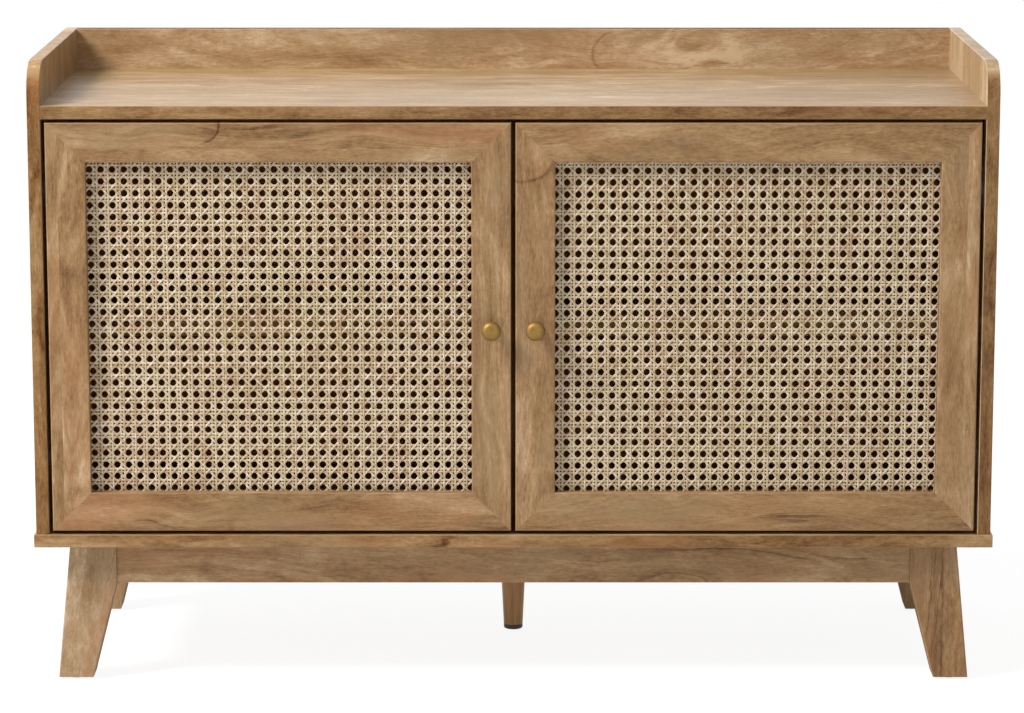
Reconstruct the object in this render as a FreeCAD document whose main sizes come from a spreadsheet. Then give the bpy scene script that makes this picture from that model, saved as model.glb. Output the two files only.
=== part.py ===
import FreeCAD, Part
import os
import re
from collections import defaultdict

import Sketcher
from FreeCAD import Placement, Rotation, Vector

# A two-door sideboard: mitred door frames with cane panels, a low gallery round the top, splayed legs.
# Frame: origin on the floor under the middle of the object, +X to the right, +Y to the back, +Z up.
# Pieces that come in pairs are modelled on the left, at negative X, and mirrored to the right.

os.makedirs("parts", exist_ok=True)
doc = FreeCAD.newDocument("cane_door_sideboard")

# Driving sizes in millimetres, one spreadsheet cell each
SIZES = {
    # Carcass boards
    "body_width": 1095,
    "body_depth": 397.5,
    "board": 15,
    "base_overhang": 2.5,
    "leg_height": 162,
    "opening_height": 479,
    "gallery_height": 49,
    "corner_radius": 38,
    "board_ease": 1,
    # Back sheets, set into the side panels and pinned to the boards
    "back_sheet": 3,
    "side_lip": 7,
    "sheet_seam": 1,
    "pin_radius": 1.1,
    "pin_length": 20,
    # Divider, shelves and their pegs
    "divider_clearance": 2,
    "shelf_rise": 223,
    "shelf_set_back": 30,
    "shelf_play": 1,
    "peg_radius": 2.5,
    "peg_depth": 6.5,
    "peg_reach": 9,
    "peg_inset": 50,
    "peg_pitch": 32,
    "bumper_margin": 1,
    "bumper_gap": 0.2,
    "bumper_inset": 60,
    # Doors
    "door_thickness": 18,
    "side_gap": 4.5,
    "centre_gap": 5,
    "rail_gap": 4,
    "frame_width": 45,
    "frame_ease": 1.5,
    "rebate_width": 10,
    "rebate_depth": 9,
    "cane_thickness": 2.5,
    "cane_play": 1,
    "cane_opening": 18,
    "bead_play": 0.5,
    "spline_thickness": 3,
    "spline_face": 3,
    "spline_width": 16,
    "spline_length": 30,
    # Knobs
    "knob_radius": 11,
    "knob_projection": 22,
    "knob_head": 11,
    "knob_neck_radius": 5,
    "knob_collar_radius": 7.5,
    "knob_collar": 3,
    "knob_front_round": 6,
    "knob_back_round": 2.5,
    "knob_screw_radius": 2,
    "knob_screw_grip": 10,
    "knob_screw_head": 4,
    "knob_screw_head_height": 2.5,
    # Concealed hinges
    "hinge_from_end": 80,
    "pivot_edge": 15.5,
    "pivot_depth": 11,
    "cup_margin": 2.5,
    "cup_radius": 13,
    "cup_depth": 11,
    "cup_wall": 0.8,
    "cup_clearance": 1.25,
    "flange_thickness": 1.2,
    "flange_width": 20,
    "flange_length": 54,
    "flange_screw_spread": 42,
    "hinge_pin_radius": 1.4,
    "hinge_running_clearance": 0.05,
    "eye_wall": 1.35,
    "arm_height": 8,
    "arm_thickness": 2.5,
    "swing_clearance": 0.8,
    "plate_thickness": 3,
    "plate_gap": 2.75,
    "plate_length": 40,
    "plate_height": 14,
    "wing_length": 14,
    "wing_height": 48,
    "plate_screw_spread": 36,
    "small_screw_radius": 1.6,
    "small_screw_length": 11,
    "small_screw_head": 3.2,
    "small_screw_head_height": 1.4,
    # Leg frame
    "leg_inset": 20,
    "leg_end_inset": 39,
    "leg_depth": 40,
    "leg_top_width": 53,
    "leg_toe_width": 40,
    "leg_splay": 16,
    "leg_ease": 2,
    "leg_glide": 3,
    "leg_glide_radius": 10,
    "apron_height": 47,
    "apron_thickness": 18,
    "apron_set_back": 4,
    "apron_dowel_spread": 24,
    "foot_top_radius": 19,
    "foot_toe_radius": 11.5,
    "foot_set_back": 258,
    "foot_glide": 6,
    "foot_glide_round": 2,
    "bolt_radius": 4,
    "bolt_in_leg": 40,
    "bolt_in_board": 12,
    # Carcass fittings
    "dowel_radius": 4,
    "dowel_in_face": 10,
    "dowel_in_end": 20,
    "dowel_inset": 25,
    "upstand_dowel_spread": 460,
    "upstand_dowel_back": 9,
    "cam_radius": 7.5,
    "cam_depth": 12.5,
    "cam_from_end": 24,
    "cam_inset": 70,
    "cam_bolt_radius": 3,
    "cam_bolt_in_face": 11,
    "cam_bolt_past": 3,
    "drill_clearance": 0.1,
    "drill_over": 0.5,
}

# Places that follow from the driving sizes
PLACES = {
    "half_width": "body_width / 2",
    "inner_half": "half_width - board",
    "base_half": "half_width + base_overhang",
    "front": "(knob_projection - body_depth) / 2",
    "back": "front + body_depth",
    "base_front": "front - base_overhang",
    "sheet_front": "back - back_sheet",
    "sheet_outer": "half_width - side_lip",
    "base_top": "leg_height + board",
    "base_middle": "leg_height + board / 2",
    "top_under": "base_top + opening_height",
    "top_middle": "top_under + board / 2",
    "top_upper": "top_under + board",
    "full_height": "top_upper + gallery_height",
    "side_middle": "half_width - board / 2",
    "divider_front": "door_back + divider_clearance",
    "shelf_under": "base_top + shelf_rise",
    "shelf_front": "door_back + shelf_set_back",
    "shelf_back": "sheet_front - shelf_play",
    "door_back": "front + door_thickness",
    "door_low": "base_top + rail_gap",
    "door_high": "top_under - rail_gap",
    "door_outer": "inner_half - side_gap",
    "door_inner": "centre_gap / 2",
    "sight_low": "door_low + frame_width",
    "sight_high": "door_high - frame_width",
    "sight_outer": "door_outer - frame_width",
    "sight_inner": "door_inner + frame_width",
    "rebate_front": "door_back - rebate_depth",
    "knob_x": "door_inner + frame_width / 2",
    "knob_height": "(door_low + door_high) / 2",
    "pivot_x": "door_outer - pivot_edge",
    "pivot_y": "front + pivot_depth",
    "cup_edge": "frame_width - rebate_width - cup_margin - 2 * cup_radius",
    "cup_x": "door_outer - cup_edge - cup_radius",
    "cup_offset": "cup_edge + cup_radius - pivot_edge",
    "cup_hollow": "cup_radius - cup_wall",
    "arm_reach": "cup_offset + sqrt(cup_hollow ^ 2 - (arm_height / 2) ^ 2) - cup_clearance",
    "arm_inner": "pivot_x - arm_reach",
    "arm_back": "pivot_y + sqrt(pivot_edge ^ 2 + pivot_depth ^ 2) + swing_clearance + arm_thickness",
    "plate_inner": "inner_half - plate_thickness",
    "plate_front": "arm_back + plate_gap",
    "plate_back": "plate_front + plate_length",
    "plate_middle": "plate_front + plate_length / 2",
    "leg_front": "base_front + leg_inset",
    "rear_leg_front": "back - leg_inset - leg_depth",
    "leg_outer": "base_half - leg_end_inset",
    "leg_inner": "leg_outer - leg_top_width",
    "leg_axis": "leg_outer - leg_top_width / 2",
    "toe_outer": "leg_outer + leg_splay",
    "toe_inner": "toe_outer - leg_toe_width",
    "apron_low": "leg_height - apron_height",
    "apron_middle": "leg_height - apron_height / 2",
    "front_apron_y": "leg_front + apron_set_back",
    "rear_apron_y": "back - leg_inset - apron_set_back - apron_thickness",
    "side_apron_x": "leg_outer - apron_set_back - apron_thickness / 2",
    "foot_y": "front + foot_set_back",
}

sheet = doc.addObject("Spreadsheet::Sheet", "Sizes")
for row, (alias, size) in enumerate(SIZES.items(), start=1):
    sheet.set(f"A{row}", alias)
    sheet.set(f"B{row}", str(size))
    sheet.setAlias(f"B{row}", alias)
doc.recompute()

TURNS = {
    "+x": Rotation(Vector(0, 1, 0), 90),
    "-x": Rotation(Vector(0, 1, 0), -90),
    "+y": Rotation(Vector(1, 0, 0), -90),
    "-y": Rotation(Vector(1, 0, 0), 90),
    "+z": Rotation(),
    "-z": Rotation(Vector(1, 0, 0), 180),
}
PLANES = {"XY": ("XY_Plane", 1), "XZ": ("XZ_Plane", -1), "YZ": ("YZ_Plane", 1)}
LEVELS = {"lower": "door_low + hinge_from_end", "upper": "door_high - hinge_from_end"}

# Cutting tools collected for each piece, and the finished pieces by name
cutters = defaultdict(list)
pieces = {}


def bound(expression):
    """The expression with every size and place written out as spreadsheet cells."""
    def cell(match):
        word = match.group(0)
        if word in SIZES:
            return f"Sizes.{word}"
        if word in PLACES:
            return f"({bound(PLACES[word])})"
        return word
    return re.sub(r"[a-z_]+", cell, expression)


def value(expression):
    return float(sheet.evalExpression(bound(expression)))


def place(thing, base, turn="+z"):
    thing.Placement = Placement(Vector(), TURNS[turn])
    for letter, expression in zip("xyz", base):
        thing.setExpression(f"Placement.Base.{letter}", bound(expression))


def box(name, low, high):
    solid = doc.addObject("Part::Box", name)
    for side, start, end in zip(("Length", "Width", "Height"), low, high):
        solid.setExpression(side, bound(f"({end}) - ({start})"))
    place(solid, low)
    return solid


def rod(name, start, turn, radius, length):
    """A cylinder from its start point along one of the six axis directions."""
    solid = doc.addObject("Part::Cylinder", name)
    solid.setExpression("Radius", bound(radius))
    solid.setExpression("Height", bound(length))
    place(solid, start, turn)
    return solid


def shifted(point, turn, distance):
    """The point moved along an axis direction by a distance."""
    sign, axis = turn
    moved = list(point)
    index = "xyz".index(axis)
    moved[index] = f"{point[index]} {sign} ({distance})"
    return moved


def drilling(name, start, turn, radius, length):
    """The hole for a rod: wider by the drill clearance, longer at both ends."""
    mouth = shifted(start, turn, "0 - drill_over")
    return rod(name, mouth, turn, f"{radius} + drill_clearance", f"{length} + 2 * drill_over")


def group(name, solids):
    compound = doc.addObject("Part::Compound", name)
    compound.Links = solids
    return compound


def fused(name, solids):
    union = doc.addObject("Part::MultiFuse", name)
    union.Shapes = solids
    return union


def cut(name, base, tools):
    result = doc.addObject("Part::Cut", name)
    result.Base = base
    result.Tool = tools[0] if len(tools) == 1 else group(f"{name}_cutters", tools)
    return result


def mirrored(name, source):
    copy = doc.addObject("Part::Mirroring", name)
    copy.Source = source
    copy.Normal = Vector(1, 0, 0)
    return copy


def keep(name, thing):
    """The thing as a finished piece, with the tools collected for it cut away."""
    if cutters[name]:
        thing.Label = f"{name}_blank"
        thing = cut(name, thing, cutters[name])
    thing.Label = name
    pieces[name] = thing
    return thing


def keep_pair(name, left_thing):
    """A left piece and its mirrored right piece; the name holds the word left."""
    left = keep(name, left_thing)
    right_name = name.replace("left", "right")
    keep(right_name, mirrored(right_name, left))


def outline(body, name, plane, start, points):
    """A closed sketch of straight lines whose corners are bound to the sizes."""
    role, normal = PLANES[plane]
    sketch = body.newObject("Sketcher::SketchObject", name)
    support = next(feature for feature in body.Origin.OriginFeatures if feature.Role == role)
    sketch.AttachmentSupport = [(support, "")]
    sketch.MapMode = "FlatFace"
    sketch.setExpression("AttachmentOffset.Base.z", bound(f"{normal} * ({start})"))
    corners = [Vector(value(across), value(up), 0) for across, up in points]
    count = len(corners)
    for index in range(count):
        sketch.addGeometry(Part.LineSegment(corners[index], corners[(index + 1) % count]))
    for index in range(count):
        sketch.addConstraint(Sketcher.Constraint("Coincident", index, 2, (index + 1) % count, 1))
    for index, (across, up) in enumerate(points):
        for kind, expression in (("DistanceX", across), ("DistanceY", up)):
            number = sketch.addConstraint(Sketcher.Constraint(kind, -1, 1, index, 1, value(expression)))
            sketch.setExpression(f"Constraints[{number}]", bound(expression))
    return sketch


def prism(name, plane, start, thickness, points):
    """A body padded from an outline, towards positive X, Y or Z."""
    body = doc.addObject("PartDesign::Body", name)
    sketch = outline(body, f"{name}_outline", plane, start, points)
    pad = body.newObject("PartDesign::Pad", f"{name}_pad")
    pad.Profile = sketch
    pad.setExpression("Length", bound(thickness))
    pad.Reversed = PLANES[plane][1] < 0
    return body


def slab(name, low, high):
    """A board between two opposite corners."""
    corners = [(low[0], low[1]), (high[0], low[1]), (high[0], high[1]), (low[0], high[1])]
    return prism(name, "XY", low[2], f"({high[2]}) - ({low[2]})", corners)


def turned(name, profile):
    """A body turned about the Y axis from a profile of (radius, distance along Y) points."""
    body = doc.addObject("PartDesign::Body", name)
    sketch = outline(body, f"{name}_profile", "XY", "0", profile)
    revolution = body.newObject("PartDesign::Revolution", f"{name}_turning")
    revolution.Profile = sketch
    revolution.ReferenceAxis = (sketch, ["V_Axis"])
    revolution.Angle = 360
    return body


def rounded(body, radius, chosen):
    """Rounds the edges of the body that the chosen test picks."""
    doc.recompute()
    base = body.Tip
    edges = enumerate(base.Shape.Edges, start=1)
    names = [f"Edge{number}" for number, edge in edges if chosen(edge.BoundBox)]
    fillet = body.newObject("PartDesign::Fillet", f"{body.Name}_round")
    fillet.Base = (base, names)
    fillet.setExpression("Radius", bound(radius))
    return body


def near(measure, expression):
    return abs(measure - value(expression)) < 1e-4


def runs(span, letter):
    """True when an edge's bounding box is long in one direction only."""
    lengths = {"x": span.XLength, "y": span.YLength, "z": span.ZLength}
    return all((length > 1e-4) == (key == letter) for key, length in lengths.items())


def dowel(name, point, turn):
    """A dowel set into the face behind the point and into the board end in front of it."""
    start = shifted(point, turn, "0 - dowel_in_face")
    length = "dowel_in_face + dowel_in_end"
    solid = rod(name, start, turn, "dowel_radius", length)
    hole = drilling(f"{name}_hole", start, turn, "dowel_radius", length)
    return solid, hole


def cam_joint(name, point, turn, mouth, cam_turn):
    """A cam bolt through a board's end and the cam lock that grips it, let in at the mouth's face."""
    start = shifted(point, turn, "0 - cam_bolt_in_face")
    length = "cam_bolt_in_face + cam_from_end + cam_bolt_past"
    bolt = rod(f"{name}_bolt", start, turn, "cam_bolt_radius", length)
    bolt_hole = drilling(f"{name}_bolt_hole", start, turn, "cam_bolt_radius", length)
    disc = rod(f"{name}_disc", mouth, cam_turn, "cam_radius", "cam_depth")
    lock = cut(f"{name}_lock", disc, [bolt_hole])
    lock_hole = drilling(f"{name}_lock_hole", mouth, cam_turn, "cam_radius", "cam_depth")
    return bolt, bolt_hole, lock, lock_hole


def screw(name, seat, turn, shank, length, head, head_height):
    """A pan-head screw whose head sits on the seat and whose shank runs along the direction."""
    back_turn = {"+": "-", "-": "+"}[turn[0]] + turn[1]
    solid = fused(name, [rod(f"{name}_shank", seat, turn, shank, length),
                         rod(f"{name}_head", seat, back_turn, head, head_height)])
    return solid, drilling(f"{name}_hole", seat, turn, shank, length)


def small_screw(name, seat, turn):
    return screw(name, seat, turn, "small_screw_radius", "small_screw_length",
                 "small_screw_head", "small_screw_head_height")


# Dowels and cams that join the carcass boards
dowels = []
cam_bolts = []
cam_locks = []


def both_sides(thing):
    return [thing, mirrored(f"{thing.Label}_right", thing)]


def join_with_dowel(name, point, turn, side_pieces, middle_pieces):
    """A dowel on the left and its mirror image, with holes in the left pieces and in those that span."""
    solid, hole = dowel(name, point, turn)
    dowels.extend(both_sides(solid))
    holes = both_sides(hole)
    for piece in side_pieces:
        cutters[piece].append(hole)
    for piece in middle_pieces:
        cutters[piece].extend(holes)


def join_with_cam(name, joint, bolt_pieces, lock_piece, paired):
    bolt, bolt_hole, lock, lock_hole = joint
    cam_bolts.extend(both_sides(bolt) if paired else [bolt])
    cam_locks.extend(both_sides(lock) if paired else [lock])
    for piece, hole in [(piece, bolt_hole) for piece in bolt_pieces] + [(lock_piece, lock_hole)]:
        spans = paired and not piece.startswith("left")
        cutters[piece].extend(both_sides(hole) if spans else [hole])


ENDS = {
    "front": ("front + {}", "front_apron_y", "leg_front + leg_depth", "+y"),
    "rear": ("sheet_front - {}", "rear_apron_y", "rear_leg_front", "-y"),
}
for end, (along, apron_y, leg_edge, leg_turn) in ENDS.items():
    dowel_y = along.format("dowel_inset")
    cam_y = along.format("cam_inset")
    join_with_dowel(f"top_{end}_dowel", ("-inner_half", dowel_y, "top_middle"), "+x",
                    ["left_side_panel"], ["top_panel"])
    join_with_dowel(f"foot_{end}_dowel", ("-side_middle", dowel_y, "base_top"), "+z",
                    ["left_side_panel"], ["bottom_panel"])
    join_with_cam(f"top_{end}_cam",
                  cam_joint(f"top_{end}_cam", ("-inner_half", cam_y, "top_middle"), "+x",
                            ("-inner_half + cam_from_end", cam_y, "top_under"), "+z"),
                  ["left_side_panel", "top_panel"], "top_panel", True)
    join_with_cam(f"foot_{end}_cam",
                  cam_joint(f"foot_{end}_cam", ("-side_middle", cam_y, "base_top"), "+z",
                            ("-inner_half", cam_y, "base_top + cam_from_end"), "-x"),
                  ["left_side_panel", "bottom_panel"], "left_side_panel", True)
    join_with_cam(f"divider_{end}_cam",
                  cam_joint(f"divider_{end}_cam", ("0", cam_y, "base_top"), "+z",
                            ("-board / 2", cam_y, "base_top + cam_from_end"), "+x"),
                  ["centre_divider", "bottom_panel"], "centre_divider", False)
    divider_y = dowel_y if end == "rear" else "divider_front + dowel_inset"
    for level, point, turn, board in (("top", "top_under", "-z", "top_panel"),
                                      ("foot", "base_top", "+z", "bottom_panel")):
        solid, hole = dowel(f"divider_{level}_{end}_dowel", ("0", divider_y, point), turn)
        dowels.append(solid)
        cutters["centre_divider"].append(hole)
        cutters[board].append(hole)
    for level, sign in (("low", "-"), ("high", "+")):
        dowel_z = f"apron_middle {sign} apron_dowel_spread / 2"
        join_with_dowel(f"{end}_apron_{level}_dowel",
                        ("-leg_inner", f"{apron_y} + apron_thickness / 2", dowel_z), "+x",
                        [f"{end}_left_leg"], [f"{end}_apron"])
        join_with_dowel(f"side_apron_{end}_{level}_dowel", ("-side_apron_x", leg_edge, dowel_z), leg_turn,
                        [f"{end}_left_leg", "left_apron"], [])
join_with_dowel("upstand_foot_dowel",
                ("-upstand_dowel_spread / 2", "back - upstand_dowel_back", "top_upper"),
                "+z", [], ["back_upstand", "top_panel"])
join_with_dowel("upstand_end_dowel",
                ("-inner_half", "back - board / 2", "top_upper + gallery_height / 2"),
                "+x", ["left_side_panel"], ["back_upstand"])

# Hanger bolts of the legs and of the centre foot
leg_bolts = []
for name, x, y, leg in (("front_leg_bolt", "-leg_axis", "leg_front + leg_depth / 2", "front_left_leg"),
                        ("rear_leg_bolt", "-leg_axis", "rear_leg_front + leg_depth / 2", "rear_left_leg"),
                        ("foot_bolt", "0", "foot_y", "centre_foot")):
    start = (x, y, "leg_height - bolt_in_leg")
    length = "bolt_in_leg + bolt_in_board"
    bolt = rod(name, start, "+z", "bolt_radius", length)
    hole = drilling(f"{name}_hole", start, "+z", "bolt_radius", length)
    paired = leg != "centre_foot"
    leg_bolts.extend(both_sides(bolt) if paired else [bolt])
    cutters["bottom_panel"].extend(both_sides(hole) if paired else [hole])
    cutters[leg].append(hole)
keep("leg_bolts", group("leg_bolts", leg_bolts))

# Panel pins that hold the back sheets
panel_pins = []
PIN_ROWS = 3
PIN_PLACES = []
for count in range(1, PIN_ROWS + 1):
    share = f"{count} / {PIN_ROWS + 1}"
    PIN_PLACES.append((f"-inner_half * {share}", "top_middle", "top_panel"))
    PIN_PLACES.append((f"-inner_half * {share}", "base_middle", "bottom_panel"))
    level = f"base_top + opening_height * {share}"
    PIN_PLACES.append(("-(inner_half + sheet_outer) / 2", level, "left_side_panel"))
    PIN_PLACES.append(("-board / 4", level, "centre_divider"))
for index, (x, z, board) in enumerate(PIN_PLACES):
    start = (x, "back", z)
    pin = rod(f"panel_pin_{index}", start, "-y", "pin_radius", "pin_length")
    hole = drilling(f"panel_pin_{index}_hole", start, "-y", "pin_radius", "pin_length")
    panel_pins.extend(both_sides(pin))
    cutters["left_back_panel"].append(hole)
    cutters[board].extend([hole] if board == "left_side_panel" else both_sides(hole))
keep("back_panel_pins", group("back_panel_pins", panel_pins))

# Shelf pegs, with spare holes above and below
shelf_pegs = []
SPARE_HOLES = 2
for end, peg_y in (("front", "shelf_front + peg_inset"), ("rear", "sheet_front - peg_inset")):
    for face, x, turn, board in (("side", "-inner_half - peg_depth", "+x", "left_side_panel"),
                                 ("divider", "-board / 2 + peg_depth", "-x", "centre_divider")):
        length = "peg_depth + peg_reach"
        start = (x, peg_y, "shelf_under - peg_radius")
        shelf_pegs.extend(both_sides(rod(f"{face}_{end}_peg", start, turn, "peg_radius", length)))
        for step in range(-SPARE_HOLES, SPARE_HOLES + 1):
            spot = (x, peg_y, f"shelf_under - peg_radius + peg_pitch * {step}")
            hole = drilling(f"{face}_{end}_peg_hole", spot, turn, "peg_radius", length)
            cutters[board].extend(both_sides(hole) if board == "centre_divider" else [hole])
keep("shelf_pegs", group("shelf_pegs", shelf_pegs))

# Hinges, one below and one above on the left door
hinge_plates = []
plate_screws = []
cup_screws = []
hinge_pins = []
for level, height in LEVELS.items():
    name = f"left_{level}_hinge"
    pivot_low = ("-pivot_x", "pivot_y", f"{height} - arm_height / 2")
    pin_half = "sqrt((cup_radius - cup_wall / 2) ^ 2 - cup_offset ^ 2)"
    pin_low = ("-pivot_x", "pivot_y", f"{height} - {pin_half}")
    hinge_pins.append(rod(f"{name}_pin", pin_low, "+z", "hinge_pin_radius", f"2 * {pin_half}"))

    cup_floor = ("-cup_x", "door_back - cup_depth", height)
    shell = rod(f"{name}_shell", cup_floor, "+y", "cup_radius", "cup_depth")
    flange = box(f"{name}_flange",
                 ("-cup_x - flange_width / 2", "door_back", f"{height} - flange_length / 2"),
                 ("-cup_x + flange_width / 2", "door_back + flange_thickness",
                  f"{height} + flange_length / 2"))
    hollow = rod(f"{name}_hollow", ("-cup_x", "door_back - cup_depth + cup_wall", height), "+y",
                 "cup_hollow", "cup_depth + flange_thickness")
    pin_seat = rod(f"{name}_pin_seat", pin_low, "+z",
                   "hinge_pin_radius + drill_clearance", f"2 * {pin_half}")
    cup_tools = [hollow, pin_seat]
    cutters["left_door_hinge_stile"].append(
        drilling(f"{name}_pocket", cup_floor, "+y", "cup_radius", "cup_depth"))
    for spot, sign in (("low", "-"), ("high", "+")):
        seat = ("-cup_x", "door_back + flange_thickness", f"{height} {sign} flange_screw_spread / 2")
        solid, hole = small_screw(f"{name}_cup_screw_{spot}", seat, "-y")
        cup_screws.append(solid)
        cup_tools.append(hole)
        cutters["left_door_hinge_stile"].append(hole)
    cup_blank = fused(f"{name}_cup_blank", [shell, flange])
    keep_pair(f"left_door_{level}_hinge_cup", cut(f"left_door_{level}_hinge_cup", cup_blank, cup_tools))

    arm_low = f"{height} - arm_height / 2"
    arm_high = f"{height} + arm_height / 2"
    eye = rod(f"{name}_eye", pivot_low, "+z", "hinge_pin_radius + eye_wall", "arm_height")
    neck = box(f"{name}_neck", ("-pivot_x", "pivot_y - arm_thickness / 2", arm_low),
               ("-arm_inner", "pivot_y + arm_thickness / 2", arm_high))
    riser = box(f"{name}_riser", ("-arm_inner - arm_thickness", "pivot_y - arm_thickness / 2", arm_low),
                ("-arm_inner", "arm_back", arm_high))
    bridge = box(f"{name}_bridge", ("-plate_inner", "arm_back - arm_thickness", arm_low),
                 ("-arm_inner", "arm_back", arm_high))
    runner = box(f"{name}_runner", ("-plate_inner", "arm_back - arm_thickness", arm_low),
                 ("-plate_inner + arm_thickness", "plate_back", arm_high))
    bore = rod(f"{name}_bore", pivot_low, "+z", "hinge_pin_radius + hinge_running_clearance", "arm_height")
    arm_blank = fused(f"{name}_arm_blank", [eye, neck, riser, bridge, runner])
    arm_seat = ("-plate_inner + arm_thickness", "plate_middle", height)
    arm_screw, arm_hole = small_screw(f"{name}_arm_screw", arm_seat, "-x")
    keep_pair(f"left_{level}_hinge_arm", cut(f"left_{level}_hinge_arm", arm_blank, [bore, arm_hole]))

    spine = box(f"{name}_spine", ("-inner_half", "plate_front", f"{height} - plate_height / 2"),
                ("-plate_inner", "plate_back", f"{height} + plate_height / 2"))
    wing = box(f"{name}_wing",
               ("-inner_half", "plate_middle - wing_length / 2", f"{height} - wing_height / 2"),
               ("-plate_inner", "plate_middle + wing_length / 2", f"{height} + wing_height / 2"))
    plate_tools = [arm_hole]
    plate_screws.extend(both_sides(arm_screw))
    cutters["left_side_panel"].append(arm_hole)
    for spot, sign in (("low", "-"), ("high", "+")):
        seat = ("-plate_inner", "plate_middle", f"{height} {sign} plate_screw_spread / 2")
        solid, hole = small_screw(f"{name}_plate_screw_{spot}", seat, "-x")
        plate_screws.extend(both_sides(solid))
        plate_tools.append(hole)
        cutters["left_side_panel"].append(hole)
    plate_blank = fused(f"{name}_plate_blank", [spine, wing])
    hinge_plates.extend(both_sides(cut(f"{name}_plate", plate_blank, plate_tools)))
keep("hinge_plates", group("hinge_plates", hinge_plates))
keep("hinge_plate_screws", group("hinge_plate_screws", plate_screws))
keep_pair("left_door_hinge_pins", group("left_door_hinge_pins", hinge_pins))
keep_pair("left_door_hinge_cup_screws", group("left_door_hinge_cup_screws", cup_screws))

# Knob, turned about its own axis and seated on the meeting stile
knob = turned("left_door_knob_turning", [
    ("0", "0"),
    ("knob_collar_radius", "0"),
    ("knob_collar_radius", "0 - knob_collar"),
    ("knob_neck_radius", "0 - knob_collar"),
    ("knob_neck_radius", "knob_head - knob_projection"),
    ("knob_radius", "knob_head - knob_projection"),
    ("knob_radius", "0 - knob_projection"),
    ("0", "0 - knob_projection"),
])
rounded(knob, "knob_front_round",
        lambda span: near(span.YMin, "0 - knob_projection") and near(span.YMax, "0 - knob_projection")
        and span.XLength > value("knob_radius"))
rounded(knob, "knob_back_round",
        lambda span: near(span.YMin, "knob_head - knob_projection")
        and near(span.YMax, "knob_head - knob_projection") and near(span.XMax, "knob_radius"))
place(knob, ("-knob_x", "front", "knob_height"))
knob_screw, knob_screw_hole = screw("left_door_knob_screw", ("-knob_x", "door_back", "knob_height"), "-y",
                                    "knob_screw_radius", "door_thickness + knob_screw_grip",
                                    "knob_screw_head", "knob_screw_head_height")
cutters["left_door_knob"].append(knob_screw_hole)
cutters["left_door_meeting_stile"].append(knob_screw_hole)
keep_pair("left_door_knob", knob)
keep_pair("left_door_knob_screw", knob_screw)

# Door frame: rails and stiles mitred at the corners, rebated behind for the cane panel
rebate = box("left_door_rebate",
             ("-(sight_outer + rebate_width)", "rebate_front", "sight_low - rebate_width"),
             ("-(sight_inner - rebate_width)", "door_back + drill_over", "sight_high + rebate_width"))
CORNERS = {
    "outer_low": ("-(door_outer - frame_width / 2)", "door_low + frame_width / 2", 45),
    "inner_low": ("-(door_inner + frame_width / 2)", "door_low + frame_width / 2", -45),
    "outer_high": ("-(door_outer - frame_width / 2)", "door_high - frame_width / 2", -45),
    "inner_high": ("-(door_inner + frame_width / 2)", "door_high - frame_width / 2", 45),
}


def spline(name, corner, play):
    """A flat key across a mitre: its width crosses the joint and its length runs along it."""
    x, z, angle = corner
    key = doc.addObject("Part::Box", name)
    key.setExpression("Length", bound(f"spline_width + 2 * {play}"))
    key.setExpression("Width", bound(f"spline_thickness + 2 * {play}"))
    key.setExpression("Height", bound(f"spline_length + 2 * {play}"))
    key.Placement = Placement(Vector(), Rotation(Vector(0, 1, 0), angle))
    along = f"cos({angle})"
    aside = f"sin({angle})"
    half_across = f"(spline_width / 2 + {play})"
    half_length = f"(spline_length / 2 + {play})"
    key.setExpression("Placement.Base.x", bound(f"{x} - {half_across} * {along} - {half_length} * {aside}"))
    key.setExpression("Placement.Base.y", bound(f"front + spline_face - {play}"))
    key.setExpression("Placement.Base.z", bound(f"{z} + {half_across} * {aside} - {half_length} * {along}"))
    return key


splines = []
slots = []
for name, corner in CORNERS.items():
    splines.append(spline(f"left_door_{name}_spline", corner, "0"))
    slots.append(spline(f"left_door_{name}_slot", corner, "drill_clearance"))
keep_pair("left_door_mitre_splines", group("left_door_mitre_splines", splines))

FRAME = {
    "hinge_stile": ("z", ("-door_outer", "door_low"), ("-sight_outer", "sight_low"),
                    ("-sight_outer", "sight_high"), ("-door_outer", "door_high")),
    "meeting_stile": ("z", ("-door_inner", "door_low"), ("-sight_inner", "sight_low"),
                      ("-sight_inner", "sight_high"), ("-door_inner", "door_high")),
    "bottom_rail": ("x", ("-door_outer", "door_low"), ("-door_inner", "door_low"),
                    ("-sight_inner", "sight_low"), ("-sight_outer", "sight_low")),
    "top_rail": ("x", ("-door_outer", "door_high"), ("-door_inner", "door_high"),
                 ("-sight_inner", "sight_high"), ("-sight_outer", "sight_high")),
}
for member, (direction, *corners) in FRAME.items():
    name = f"left_door_{member}"
    body = prism(f"{name}_body", "XZ", "front", "door_thickness", corners)
    rounded(body, "frame_ease", lambda span: near(span.YMax, "front") and runs(span, direction))
    cutters[name].extend([rebate] + slots)
    keep_pair(name, body)

# Cane panel in the rebate: a sheet with a plain grid of openings, fewer and larger than the weave's own
CANE_COLUMNS = 12
CANE_ROWS = 10
for column in range(CANE_COLUMNS):
    middle_x = f"-(sight_inner + (sight_outer - sight_inner) * {column + 0.5} / {CANE_COLUMNS})"
    for row in range(CANE_ROWS):
        middle_z = f"sight_low + (sight_high - sight_low) * {row + 0.5} / {CANE_ROWS}"
        cutters["left_door_cane_panel"].append(
            box(f"left_door_cane_opening_{column}_{row}",
                (f"{middle_x} - cane_opening / 2", "rebate_front - drill_over",
                 f"{middle_z} - cane_opening / 2"),
                (f"{middle_x} + cane_opening / 2", "rebate_front + cane_thickness + drill_over",
                 f"{middle_z} + cane_opening / 2")))
keep_pair("left_door_cane_panel",
          slab("left_door_cane_panel_body",
               ("-(sight_outer + rebate_width - cane_play)", "rebate_front",
                "sight_low - rebate_width + cane_play"),
               ("-(sight_inner - rebate_width + cane_play)", "rebate_front + cane_thickness",
                "sight_high + rebate_width - cane_play")))

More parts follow.
